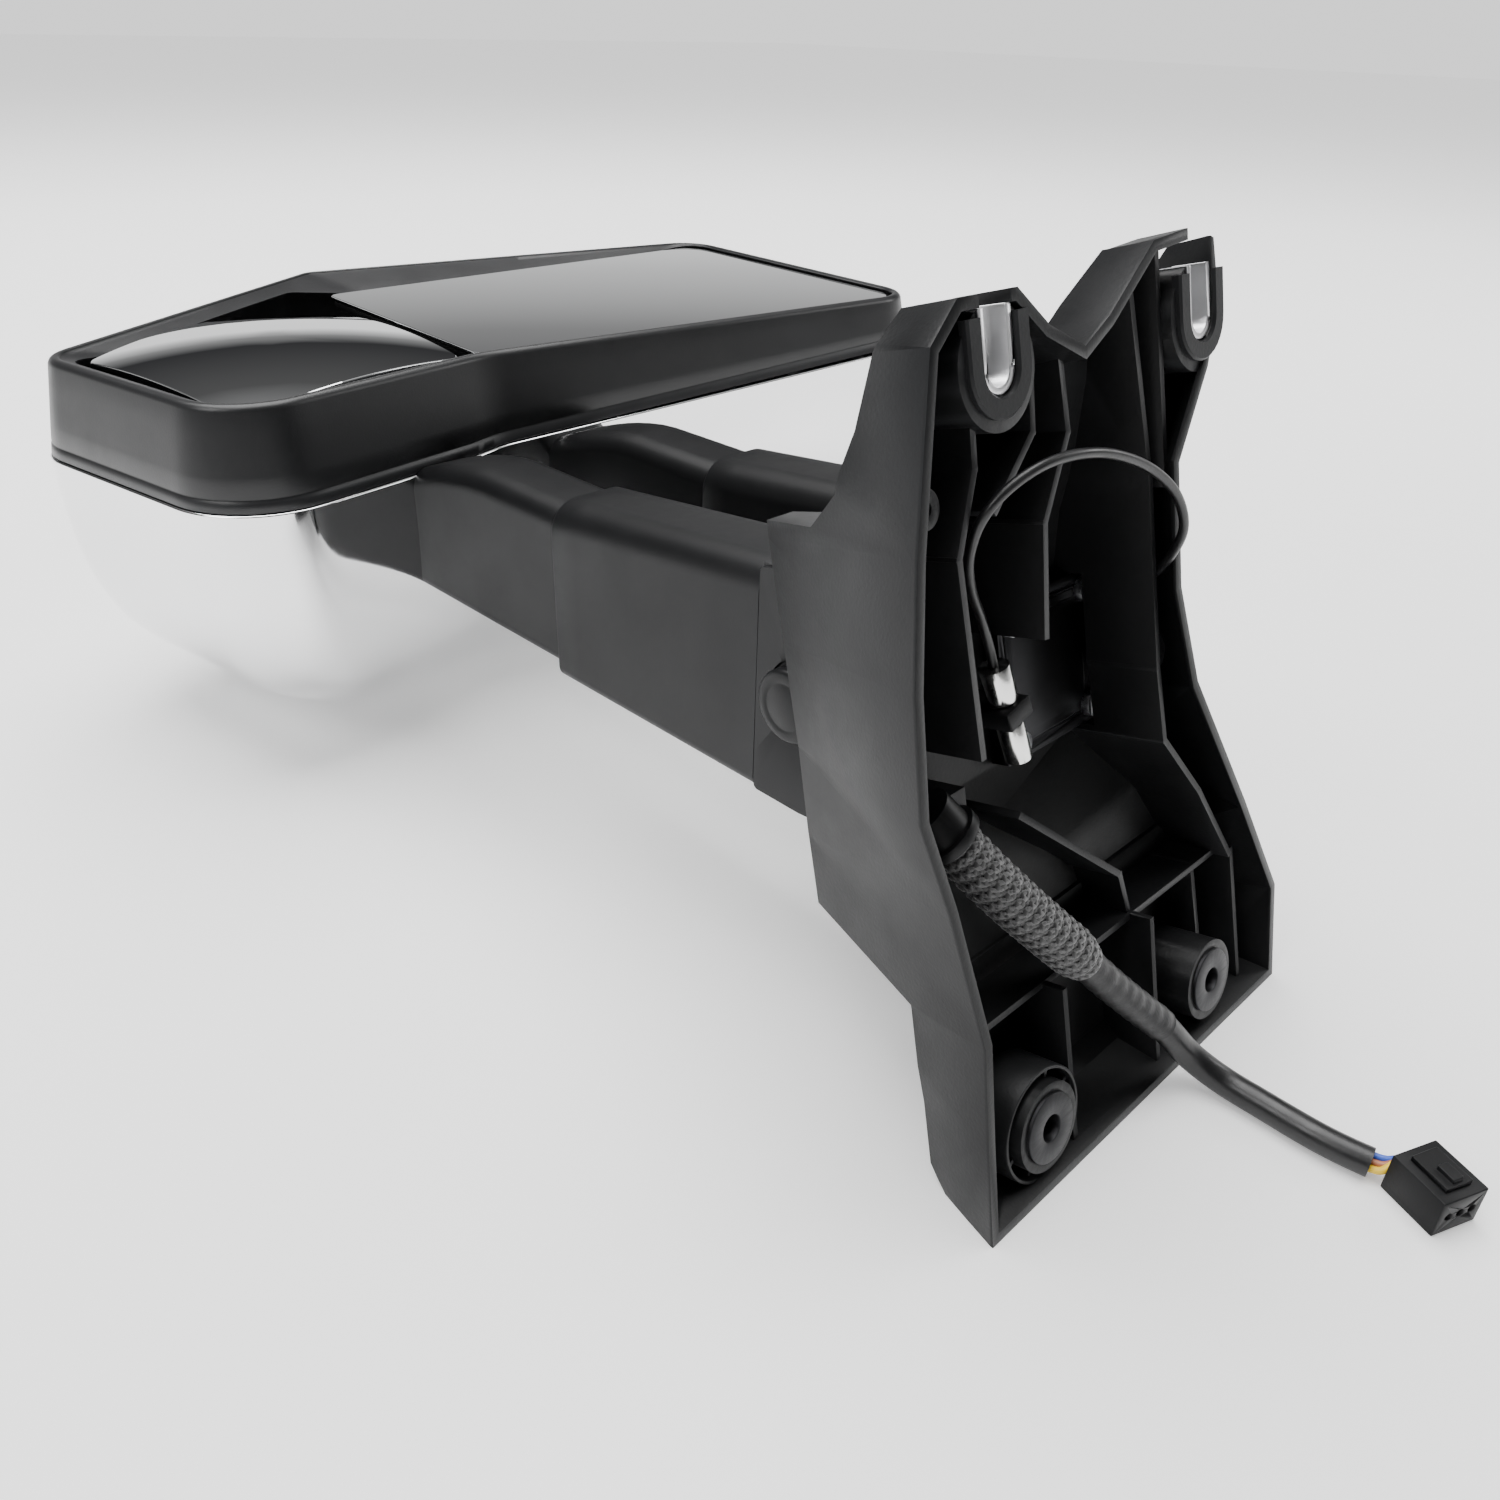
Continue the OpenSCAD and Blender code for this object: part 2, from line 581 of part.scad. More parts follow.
wire_colours = ["#d9b21f", "#a8562d", "#3559c7"];
module connector_wires() {
    for (k = [-1:1]) color(wire_colours[k + 1])
        tube_along(smooth([[73.6 + k * 2, -68.1, -15.2 + k], [74.6 + k * 2.4, -70.2, -14.6 + k * 0.6],
            [77.6 + k * 3.3, -72.6 - k * 0.8, -13.6], [79.63 + k * 4.07, -74.45 - k * 1.68, -13.2],
            [77.5 + k * 4.16, -79.6 - k * 1.72, -13.2]], 2), 1.1, 8);
}
lead_route = [[18, 20, 134], [17, 20, 140], [12, 18, 150], [4, 14, 160], [-2, 9, 170], [-3, 3, 180], [4, -2, 187],
    [18, -5, 190], [36, -7, 188], [54, -8, 181], [68, -8, 171], [75.5, -6, 160], [79.3, 0, 151], [83.2, 8, 144],
    [88, 20, 138], [90.4, 30, 135.5], [90.6, 38.7, 135]];
plug_axis = unit([26, 20, 104] - lead_route[0]);
module on_plug_axis() {
    translate(lead_route[0]) rotate([0, acos(plug_axis.z), atan2(plug_axis.y, plug_axis.x)]) children();
}
module antenna_lead() {
    color(black) at_base() tube_along(smooth(lead_route, 2), 1.4, 8);
}
module antenna_plug() {
    color("#dcdcd8") at_base() on_plug_axis() {
        cylinder(r = 4.5, h = 11, $fn = 48);
        cylinder(r = 3.2, h = 19, $fn = 48);
    }
}
module antenna_socket() {
    color("#dcdcd8") at_base() on_plug_axis() translate([0, 0, 19]) cylinder(r = 4, h = 12, $fn = 48);
}
module antenna_clip() {
    color(dark) at_base() difference() {
        on_plug_axis() translate([-5, -5.5, 12]) cube([11, 25, 5.5]);
        on_plug_axis() cylinder(r = 3.2, h = 30, $fn = 48);
        translate([-10, 39, 90]) cube([60, 20, 50]);
    }
}

module sleeve_near() {
    at_head() translate([near_x, 0, 0]) arm_sleeve();
}
module sleeve_far() {
    at_head() translate([near_x + arm_pitch, 0, 0]) arm_sleeve();
}
module cover_near() {
    at_head() translate([near_x, 0, 0]) arm_cover();
}
module cover_far() {
    at_head() translate([near_x + arm_pitch, 0, 0]) arm_cover();
}
module tube_near() {
    at_head() translate([near_x + arm_w / 2, 0, tube_z]) arm_tube();
}
module tube_far() {
    at_head() translate([near_x + arm_w / 2 + arm_pitch, 0, tube_z]) arm_tube();
}

bezel();
chrome_cap();
head_frame();
frame_screws();
main_actuator();
actuator_lid();
tilt_motors();
main_gimbal();
main_backing();
main_heater();
main_glass();
spotter_base();
spotter_gimbal();
spotter_backing();
spotter_glass();
sleeve_near();
sleeve_far();
slide_bushes();
cover_near();
cover_far();
tube_near();
tube_far();
tube_stops();
yoke();
detent_ring();
base_shell();
pivot_bracket();
bracket_screws();
pivot_pin();
pivot_washers();
disc_springs();
pivot_nut();
slot_inserts();
fixing_bushes();
harness_gland();
harness_braid();
harness_wrap();
harness_cable();
connector_shell();
connector_latch();
connector_wires();
antenna_lead();
antenna_plug();
antenna_socket();
antenna_clip();
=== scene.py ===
"""Looks of the folding, telescoping towing mirror. Outlines are in millimetres in the head's own frame."""

import math

import bmesh
import bpy
import numpy as np
from mathutils import Matrix, Vector


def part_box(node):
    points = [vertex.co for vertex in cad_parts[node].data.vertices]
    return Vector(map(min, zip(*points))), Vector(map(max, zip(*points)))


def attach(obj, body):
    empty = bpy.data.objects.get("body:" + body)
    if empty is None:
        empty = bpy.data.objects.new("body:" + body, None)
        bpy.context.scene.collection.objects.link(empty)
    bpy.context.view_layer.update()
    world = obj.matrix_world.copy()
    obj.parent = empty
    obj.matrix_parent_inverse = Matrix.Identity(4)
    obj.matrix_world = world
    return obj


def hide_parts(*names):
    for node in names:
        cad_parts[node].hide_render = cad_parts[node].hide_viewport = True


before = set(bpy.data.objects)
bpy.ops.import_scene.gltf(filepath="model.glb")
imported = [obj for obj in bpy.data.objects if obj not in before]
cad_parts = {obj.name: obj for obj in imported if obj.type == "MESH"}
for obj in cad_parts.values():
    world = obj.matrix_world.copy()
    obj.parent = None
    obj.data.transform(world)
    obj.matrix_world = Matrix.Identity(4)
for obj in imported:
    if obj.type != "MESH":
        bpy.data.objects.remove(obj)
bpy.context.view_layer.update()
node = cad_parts

MM = 0.001
HEAD_ORIGIN = (-68, 339, 145)    # inboard corner of the rim, from the lower fixing bore
TILT = math.radians(15)          # the door face leans by this angle
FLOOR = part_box("connector_shell")[0].z
SEAM = -40                       # bezel seam below the rim
SEAM_BEND = 110
SEAM_RISE = 16 / 300
FLARE = 0.2
ARM_X = (73, 148)                # inner faces of the two arms
ARM_W = 40
ARM_LOW = -94
COVER_MOUTH = -97
COVER_ROOT = -206
PIVOT_Y = -225                   # folding pivot
PIVOT_Z = -52
SLOT_H = 214                     # height of the ear slots' round ends up the door face
SLOT_X = {"near": 5, "far": 100}
BRAID_END = 30                   # index along the loom where the woven sleeve and the tape end
WRAP_END = 60


# ---- camera: at the photograph's place and angle ----
def make_camera():
    data = bpy.data.cameras.new("camera")
    data.lens = 29.31
    data.sensor_width = 36
    data.clip_end = 50
    camera = bpy.data.objects.new("camera", data)
    right = Vector((0.719, -0.695, 0.027)).normalized()
    forward = Vector((0.605, 0.606, -0.516)).normalized()
    up = right.cross(forward).normalized()
    right = forward.cross(up)
    turn = Matrix((right, up, -forward)).transposed().to_4x4()
    camera.matrix_world = Matrix.Translation((-0.2412, -0.1120, 0.2761)) @ turn
    bpy.context.scene.collection.objects.link(camera)
    bpy.context.scene.camera = camera


make_camera()


# ---- frames and outlines ----
def head(x, y, z):
    return Vector((x + HEAD_ORIGIN[0], y + HEAD_ORIGIN[1], z + HEAD_ORIGIN[2])) * MM


def base(u, v, h):
    """A point of the door base: u along the door, v away from it, h up its face."""
    return Vector((u, v * math.cos(TILT) + h * math.sin(TILT), h * math.cos(TILT) - v * math.sin(TILT))) * MM


def row(p):
    return Vector(p) * MM


def rounded(points, radii, n=8):
    """A closed outline with its corners rounded, each by its own radius."""
    out = []
    count = len(points)
    for i in range(count):
        p = Vector(points[i])
        a = (Vector(points[i - 1]) - p).normalized()
        b = (Vector(points[(i + 1) % count]) - p).normalized()
        half = math.acos(max(-1, min(1, a.dot(b)))) / 2
        centre = p + (a + b).normalized() * radii[i] / math.sin(half)
        start = p + a * radii[i] / math.tan(half) - centre
        end = p + b * radii[i] / math.tan(half) - centre
        turn = start.angle_signed(end)
        for k in range(n + 1):
            t = -turn * k / n
            out.append((centre.x + start.x * math.cos(t) - start.y * math.sin(t),
                        centre.y + start.x * math.sin(t) + start.y * math.cos(t)))
    return np.array(out)


def resample(outline, count):
    """Evenly spaced points round a closed outline."""
    closed = np.vstack([outline, outline[:1]])
    length = np.concatenate([[0], np.cumsum(np.linalg.norm(np.diff(closed, axis=0), axis=1))])
    want = np.linspace(0, length[-1], count, endpoint=False)
    return np.stack([np.interp(want, length, closed[:, k]) for k in range(2)], 1)


def normals(outline):
    """Outward unit normals of a counter-clockwise outline."""
    run = np.roll(outline, -1, 0) - np.roll(outline, 1, 0)
    run /= np.linalg.norm(run, axis=1)[:, None]
    return np.stack([run[:, 1], -run[:, 0]], 1)


def along_rays(outline, targets, centre):
    """Where the rays from centre through targets meet an outline."""
    out = []
    edges = list(zip(outline, np.roll(outline, -1, 0)))
    for t in targets:
        d = t - centre
        best = None
        for a, b in edges:
            e = b - a
            cross = d[0] * e[1] - d[1] * e[0]
            if abs(cross) < 1e-12:
                continue
            w = a - centre
            s = (w[0] * e[1] - w[1] * e[0]) / cross
            r = (w[0] * d[1] - w[1] * d[0]) / cross
            if s > 0 and -1e-9 <= r <= 1 + 1e-9 and (best is None or s > best):
                best = s
        out.append(centre + d * best)
    return np.array(out)


def seam(x):
    return SEAM + max(0.0, x - SEAM_BEND) * SEAM_RISE


def smooth_route(points, n):
    """A Catmull-Rom line through the points, n pieces to a span."""
    p = [Vector(q) for q in points]
    out = []
    for i in range(len(p) - 1):
        a, b, c, d = p[max(i - 1, 0)], p[i], p[i + 1], p[min(i + 2, len(p) - 1)]
        for k in range(n):
            t = k / n
            out.append(0.5 * (2 * b + (c - a) * t + (2 * a - 5 * b + 4 * c - d) * t * t
                              + (3 * b - a - 3 * c + d) * t ** 3))
    return out + [p[-1]]


RIM = resample(rounded([(0, 0), (128, 23), (395, -6), (413, 204), (155, 246), (-23, 132)],
                       [32, 60, 26, 24, 14, 24], 12), 360)
RIM_OUT = normals(RIM)
OPENING = rounded([(6, 7), (128, 28), (390, 1), (407, 199), (128, 210), (-13, 122)], [26, 50, 18, 18, 12, 14])
HEAD_MIDDLE = np.array([200.0, 105.0])
LIP = along_rays(OPENING, RIM, HEAD_MIDDLE)
MAIN_OUTLINE = ([(130, 31), (388, 4), (403.5, 196), (139, 188)], [4, 16, 14, 6])
SPOTTER_OUTLINE = ([(9, 12), (122, 33), (124, 140), (76, 173), (-6, 122)], [14, 8, 10, 10, 8])


# ---- mesh building ----
def piece(name, verts, faces, body, material, slot, replaces=(), smooth=35):
    mesh = bpy.data.meshes.new(name)
    mesh.from_pydata([tuple(v) for v in verts], [], faces)
    mesh.validate()
    mesh.update()
    obj = bpy.data.objects.new(name, mesh)
    bpy.context.scene.collection.objects.link(obj)
    mesh.materials.append(material)
    tidy_normals(obj, smooth)
    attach(obj, body)
    if replaces:
        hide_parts(*replaces)
    return obj


def tidy_normals(obj, smooth):
    """Normals outwards, smooth shading, and sharp edges where the faces turn by more than smooth degrees."""
    b = bmesh.new()
    b.from_mesh(obj.data)
    bmesh.ops.recalc_face_normals(b, faces=b.faces)
    for e in b.edges:
        e.smooth = len(e.link_faces) != 2 or e.calc_face_angle(0) < math.radians(smooth)
    for f in b.faces:
        f.smooth = True
    b.to_mesh(obj.data)
    b.free()


def rings(loops, close=True, first=False, last=False):
    """Vertices and faces of a surface through rings of points. close joins each ring to itself."""
    n = len(loops[0])
    verts = [v for loop in loops for v in loop]
    faces = []
    for k in range(len(loops) - 1):
        for i in range(n if close else n - 1):
            j = (i + 1) % n
            faces.append((k * n + i, k * n + j, (k + 1) * n + j, (k + 1) * n + i))
    if first:
        faces.append(tuple(range(n - 1, -1, -1)))
    if last:
        faces.append(tuple(range((len(loops) - 1) * n, len(loops) * n)))
    return verts, faces


def cutter(lo, hi):
    """A box in the head's frame that a boolean takes away."""
    verts = [head(*[(lo, hi)[(i >> k) & 1][k] for k in range(3)]) for i in range(8)]
    faces = [(0, 1, 3, 2), (4, 6, 7, 5), (0, 4, 5, 1), (2, 3, 7, 6), (0, 2, 6, 4), (1, 5, 7, 3)]
    mesh = bpy.data.meshes.new("cutter")
    mesh.from_pydata([tuple(v) for v in verts], [], faces)
    obj = bpy.data.objects.new("cutter", mesh)
    bpy.context.scene.collection.objects.link(obj)
    return obj


def cut(obj, boxes):
    """Takes boxes in the head's frame away from a mesh."""
    tools = [cutter(*b) for b in boxes]
    for t in tools:
        m = obj.modifiers.new("cut", "BOOLEAN")
        m.operation = "DIFFERENCE"
        m.solver = "EXACT"
        m.object = t
    bpy.context.view_layer.update()
    depsgraph = bpy.context.evaluated_depsgraph_get()
    done = bpy.data.meshes.new_from_object(obj.evaluated_get(depsgraph))
    obj.modifiers.clear()
    obj.data = done
    for t in tools:
        bpy.data.objects.remove(t)


def cross_axes(points):
    """The points of a line, each with two axes across it that turn as little as they can."""
    out = []
    side = None
    for i, p in enumerate(points):
        t = (points[min(i + 1, len(points) - 1)] - points[max(i - 1, 0)]).normalized()
        if side is None:
            side = t.cross(Vector((0.31, 0.2, 0.93))).normalized()
        side = (side - t * side.dot(t)).normalized()
        out.append((p, side, side.cross(t)))
    return out


def tube(points, radius, sides=24):
    """Rings of a round tube along points; radius is a number or a function of the share along it."""
    loops = []
    for i, (p, side, up) in enumerate(cross_axes(points)):
        r = radius(i / (len(points) - 1)) if callable(radius) else radius
        turns = [2 * math.pi * k / sides for k in range(sides)]
        loops.append([p + (side * math.cos(a) + up * math.sin(a)) * r for a in turns])
    return rings(loops, True, True, True)


# ---- materials ----
class Nodes:
    def __init__(self, name):
        self.material = bpy.data.materials.new(name)
        self.material.use_nodes = True
        self.tree = self.material.node_tree
        self.shader = self.tree.nodes["Principled BSDF"]
        self.coords = self.add("ShaderNodeTexCoord").outputs["Object"]

    def add(self, kind, **settings):
        n = self.tree.nodes.new(kind)
        for key, value in settings.items():
            setattr(n, key, value)
        return n

    def link(self, a, b):
        self.tree.links.new(a, b)

    def noise(self, scale, detail=3.0, rough=0.5, coords=None):
        n = self.add("ShaderNodeTexNoise")
        n.inputs["Scale"].default_value = scale
        n.inputs["Detail"].default_value = detail
        n.inputs["Roughness"].default_value = rough
        self.link(coords or self.coords, n.inputs["Vector"])
        return n.outputs["Fac"]

    def cells(self, scale, coords=None):
        n = self.add("ShaderNodeTexVoronoi", feature="F1")
        n.inputs["Scale"].default_value = scale
        self.link(coords or self.coords, n.inputs["Vector"])
        return n.outputs["Distance"]

    def ramp(self, value, lo, hi, out_lo=0.0, out_hi=1.0):
        n = self.add("ShaderNodeMapRange")
        for key, v in zip(("From Min", "From Max", "To Min", "To Max"), (lo, hi, out_lo, out_hi)):
            n.inputs[key].default_value = v
        self.link(value, n.inputs["Value"])
        return n.outputs["Result"]

    def mix(self, factor, a, b):
        n = self.add("ShaderNodeMix", data_type="RGBA")
        self.link(factor, n.inputs["Factor"])
        for socket, v in ((n.inputs["A"], a), (n.inputs["B"], b)):
            if isinstance(v, (tuple, list)):
                socket.default_value = (*v, 1)
            else:
                self.link(v, socket)
        return n.outputs["Result"]

    def bump(self, height, distance, strength=1.0, after=None):
        n = self.add("ShaderNodeBump")
        n.inputs["Strength"].default_value = strength
        n.inputs["Distance"].default_value = distance
        self.link(height, n.inputs["Height"])
        if after is not None:
            self.link(after, n.inputs["Normal"])
        return n.outputs["Normal"]

    def finish(self, colour, rough, normal=None, metal=0.0, specular=0.5):
        self.link(colour, self.shader.inputs["Base Color"])
        self.link(rough, self.shader.inputs["Roughness"])
        if normal is not None:
            self.link(normal, self.shader.inputs["Normal"])
        self.shader.inputs["Metallic"].default_value = metal
        self.shader.inputs["Specular IOR Level"].default_value = specular
        return self.material

    def edges(self, lo=0.52, hi=0.6):
        g = self.add("ShaderNodeNewGeometry")
        return self.ramp(g.outputs["Pointiness"], lo, hi)


def plastic(name, colour, rough, grain=1400, depth=0.00006, specular=0.5, wear=1.9):
    """Moulded plastic: fine spark-eroded grain, faint handling marks, and edges rubbed a little lighter."""
    n = Nodes(name)
    broad = n.noise(14, 4)
    fine = n.noise(grain, 2, 0.6)
    cell = n.cells(grain * 0.7)
    darker = tuple(c * 0.8 for c in colour)
    lighter = tuple(c * 1.2 for c in colour)
    worn = tuple(min(1, c * wear) for c in colour)
    tone = n.mix(n.ramp(broad, 0.3, 0.7), darker, lighter)
    tone = n.mix(n.ramp(fine, 0.35, 0.75, 0.0, 0.35), tone, lighter)
    tone = n.mix(n.edges(), tone, worn)
    gloss = n.ramp(n.noise(45, 5, 0.65), 0.25, 0.75, rough - 0.05, rough + 0.06)
    normal = n.bump(fine, depth, 0.6)
    normal = n.bump(cell, depth, 0.35, normal)
    return n.finish(tone, gloss, normal, specular=specular)


def metal(name, colour, rough, brushed=0.0):
    n = Nodes(name)
    n_map = n.add("ShaderNodeMapping")
    n_map.inputs["Scale"].default_value = (1, 1, 12) if brushed else (1, 1, 1)
    n.link(n.coords, n_map.inputs["Vector"])
    streak = n.noise(420, 5, 0.7, n_map.outputs["Vector"])
    broad = n.noise(60, 4)
    tone = n.mix(n.ramp(broad, 0.3, 0.7), tuple(c * 0.82 for c in colour), colour)
    gloss = n.ramp(streak, 0.25, 0.75, max(0.03, rough - 0.08), rough + 0.1)
    return n.finish(tone, gloss, n.bump(streak, 0.00003, 0.4), metal=1.0)


BLACK = plastic("bezel_black", (0.010, 0.0102, 0.011), 0.36, 1700, 0.00004, 0.4)
BASE_BLACK = plastic("base_black", (0.0075, 0.0077, 0.0082), 0.40, 1100, 0.00006, 0.2)
ARM_BLACK = plastic("arm_black", (0.005, 0.0051, 0.0056), 0.4, 2100, 0.00003, 0.22)
DEEP_BLACK = plastic("inner_black", (0.004, 0.0041, 0.0045), 0.5, 1500, 0.00003, 0.2)
DARK = plastic("dark_grey", (0.05, 0.05, 0.053), 0.5)
ACETAL = plastic("acetal", (0.72, 0.70, 0.64), 0.4, 900, 0.00003, wear=1.05)
STEEL = metal("zinc_steel", (0.66, 0.67, 0.69), 0.3, 1)
CAST = metal("cast_alloy", (0.42, 0.43, 0.45), 0.48)
ALLOY = metal("alloy_tube", (0.62, 0.63, 0.65), 0.28, 1)
NICKEL = metal("nickel", (0.86, 0.86, 0.84), 0.16)
LINER = metal("slot_liner", (0.72, 0.72, 0.73), 0.34, 1)
BLACKED = metal("blackened_steel", (0.035, 0.035, 0.037), 0.42, 1)


def chrome():
    n = Nodes("chrome")
    broad = n.noise(5, 3)
    tone = n.mix(n.ramp(broad, 0.35, 0.65), (0.86, 0.865, 0.87), (0.93, 0.93, 0.935))
    gloss = n.ramp(n.noise(90, 6, 0.7), 0.3, 0.8, 0.05, 0.11)
    return n.finish(tone, gloss, n.bump(n.noise(9, 2), 0.0006, 0.12), metal=1.0)


def mirror(name, tint):
    n = Nodes(name)
    tone = n.mix(n.ramp(n.noise(7, 2), 0.35, 0.65), tuple(c * 0.97 for c in tint), tint)
    gloss = n.ramp(n.noise(160, 7, 0.75), 0.55, 0.85, 0.012, 0.05)
    return n.finish(tone, gloss, metal=1.0)


CHROME = chrome()
MIRROR = mirror("mirror_glass", (0.80, 0.81, 0.82))
SPOT_MIRROR = mirror("spotter_mirror_glass", (0.80, 0.81, 0.82))


# ---- loom: the cords come first ----
LOOM_ROUTE = [(-8, 43, 84), (2, 32, 69), (13, 23, 55), (25, 15, 41), (36, 9, 28), (47, 4, 16), (58, -2, 4),
              (66, -9, -8), (70, -20, -14), (71, -34, -15.2), (71, -48, -15.2), (71.8, -58, -15.2),
              (73.4, -67, -15.2)]
LEAD_ROUTE = [(18, 20, 134), (17, 20, 140), (12, 18, 150), (4, 14, 160), (-2, 9, 170), (-3, 3, 180),
              (4, -2, 187), (18, -5, 190), (36, -7, 188), (54, -8, 181), (68, -8, 171), (75.5, -6, 160),
              (79.3, 0, 151), (83.2, 8, 144), (88, 20, 138), (90.4, 30, 135.5), (90.6, 38.7, 135)]
LOOM = [row(p) for p in smooth_route(LOOM_ROUTE, 10)]
LEAD = [base(*p) for p in smooth_route(LEAD_ROUTE, 8)]


def rubber(name, colour, rough, ribs=0.0):
    n = Nodes(name)
    fine = n.noise(900, 3)
    darker = tuple(c * 0.8 for c in colour)
    lighter = tuple(c * 1.25 for c in colour)
    tone = n.mix(n.ramp(n.noise(60, 3), 0.3, 0.7), darker, lighter)
    gloss = n.ramp(n.noise(120, 4), 0.3, 0.7, rough - 0.06, rough + 0.08)
    return n.finish(tone, gloss, n.bump(fine, 0.0001 + ribs, 0.5))


CABLE = rubber("cable_skin", (0.006, 0.006, 0.0065), 0.36)
TAPE = rubber("cloth_tape", (0.009, 0.009, 0.0096), 0.48, 0.0002)


def braid_yarn(name, dark, light):
    n = Nodes(name)
    tone = n.mix(n.ramp(n.noise(1200, 2), 0.35, 0.65), (dark,) * 3, (light,) * 3)
    gloss = n.ramp(n.noise(700, 3), 0.3, 0.7, 0.42, 0.6)
    n.shader.inputs["Sheen Weight"].default_value = 0.3
    return n.finish(tone, gloss, n.bump(n.noise(2600, 2), 0.0001, 0.6))


BRAID = braid_yarn("braid_light", 0.04, 0.11)
BRAID_DARK = braid_yarn("braid_dark", 0.008, 0.02)


def woven_sleeve():
    """Two sets of flat yarns that wind opposite ways round the loom and pass over and under each other."""
    strands, turns, radius, steps = 16, 2.1, 0.0072, 5
    axes = cross_axes(LOOM[:BRAID_END + 3])
    fine = [tuple(x.lerp(y, k / steps) for x, y in zip(a, b))
            for a, b in zip(axes, axes[1:]) for k in range(steps)]
    fine.append(axes[-1])
    total = len(fine) - 1
    made = []
    for hand, side, material in ((1, "left", BRAID), (-1, "right", BRAID_DARK)):
        verts, faces = [], []
        for s in range(strands):
            line = []
            for i, (p, a, b) in enumerate(fine):
                share = i / total
                angle = 2 * math.pi * (s / strands + hand * turns * share)
                narrow = 1 - 0.27 * max(0, (share - 0.86) / 0.14) ** 1.5
                weave = 0.00042 * hand * math.sin(angle * strands * 0.5 + s * math.pi)
                out = a.normalized() * math.cos(angle) + b.normalized() * math.sin(angle)
                line.append(p + out * (radius + weave) * narrow)
            v, f = flat_yarn(line[::2], [p for p, a, b in fine[::2]])
            faces += [tuple(q + len(verts) for q in face) for face in f]
            verts += v
        made.append(piece("loom_braid_" + side, verts, faces, "base", material, "braid",
                          ["harness_braid"] if hand > 0 else [], 80))
    return made


def loom_pieces():
    """The core cable from the gland to the plug, with the woven sleeve and the taped stretch on it."""
    cable = piece("loom_cable", *tube(LOOM, 0.0047, 28), "base", CABLE, "cable_skin", ["harness_cable"], 60)
    sleeve = woven_sleeve()
    core = piece("loom_core", *tube(LOOM[:BRAID_END + 1], 0.0062), "base", DEEP_BLACK, "cable_skin", [], 60)

    def tape_radius(t):
        spiral = 0.00025 * (0.5 + 0.5 * math.sin(t * 2 * math.pi * 9))
        return 0.0052 + spiral + 0.0012 * max(0, 1 - t / 0.12)
    taped = smooth_route(LOOM[BRAID_END - 1:WRAP_END + 2:3], 8)
    wrap = piece("loom_wrap", *tube(taped, tape_radius, 28), "base", TAPE, "cable_skin", ["harness_wrap"], 60)
    return cable, sleeve + [core, wrap]


def flat_yarn(line, centres):
    """A flat bundle of yarn that lies on the sleeve: five points across, thin at its edges."""
    loops = []
    half, thick = 0.00082, 0.00034
    for i, p in enumerate(line):
        t = (line[min(i + 1, len(line) - 1)] - line[max(i - 1, 0)]).normalized()
        out = (p - centres[min(i, len(centres) - 1)]).normalized()
        across = t.cross(out).normalized()
        loops.append([p + across * half * x + out * thick * z
                      for x, z in ((-1, 0), (-0.55, 0.8), (0, 1), (0.55, 0.8), (1, 0), (0, -0.7))])
    return rings(loops, True, True, True)


cable, loom_parts = loom_pieces()
lead = piece("aerial_lead", *tube(LEAD, 0.0014, 16), "base", CABLE, "cable_skin", ["antenna_lead"], 60)


# ---- head ----
def bezel():
    """The rim: a flared wall with a small step, a rounded top edge, and a flange down to the glass."""
    loops = []
    bottom = np.array([seam(p[0]) for p in RIM])

    def wall(inwards, z):
        """A ring on the flared wall, moved inwards by so much, at height z (an array)."""
        out = RIM + RIM_OUT * (FLARE * np.clip(-z, 0, None) - 0.6 - inwards)[:, None]
        loops.append([head(x, y, h) for (x, y), h in zip(out, z)])

    flat = np.zeros(len(RIM))
    wall(2.7 + flat, bottom + 12)
    wall(2.7 + flat, bottom + 0.3)
    wall(0.5 + flat, bottom)
    wall(0.0 + flat, bottom + 0.5)
    wall(0.0 + flat, bottom + 4.6)
    wall(0.35 + flat, bottom + 4.9)
    wall(0.35 + flat, bottom + 5.6)
    wall(0.05 + flat, bottom + 6.0)
    for t in (0.25, 0.5, 0.75):
        wall(flat, bottom + 6 + (-6 - bottom - 3) * t)
    r = 2.6
    for k in range(7):
        a = math.radians(90 * k / 6)
        wall(r * (1 - math.cos(a)) + flat, -r * (1 - math.sin(a)) + flat)
    wall(3.6 + flat, flat)
    wall(4.1 + flat, flat - 0.12)
    wall(4.4 + flat, flat - 0.5)
    start = RIM - RIM_OUT * 5.0
    gap = np.linalg.norm(LIP - start, axis=1) * np.sign(((start - LIP) * RIM_OUT).sum(1))
    drop = np.clip(gap * 0.2, 0.4, 7.0)
    for t in (0.0, 0.25, 0.5, 0.75, 1.0):
        ring = start + (LIP - start) * t
        z = -0.7 - drop * t
        loops.append([head(x, y, h) for (x, y), h in zip(ring, z)])
    away = LIP - HEAD_MIDDLE
    away /= np.linalg.norm(away, axis=1)[:, None]
    for more, down in ((0.0, 0.5), (0.9, 1.4), (1.6, 12.0), (1.8, 22.0)):
        loops.append([head(x, y, h) for (x, y), h in zip(LIP + away * more, -0.7 - drop - down)])
    verts, faces = rings(loops)
    piece("bezel_rim", verts, faces, "head", BLACK, "satin_black_plastic", ["bezel"], 50)


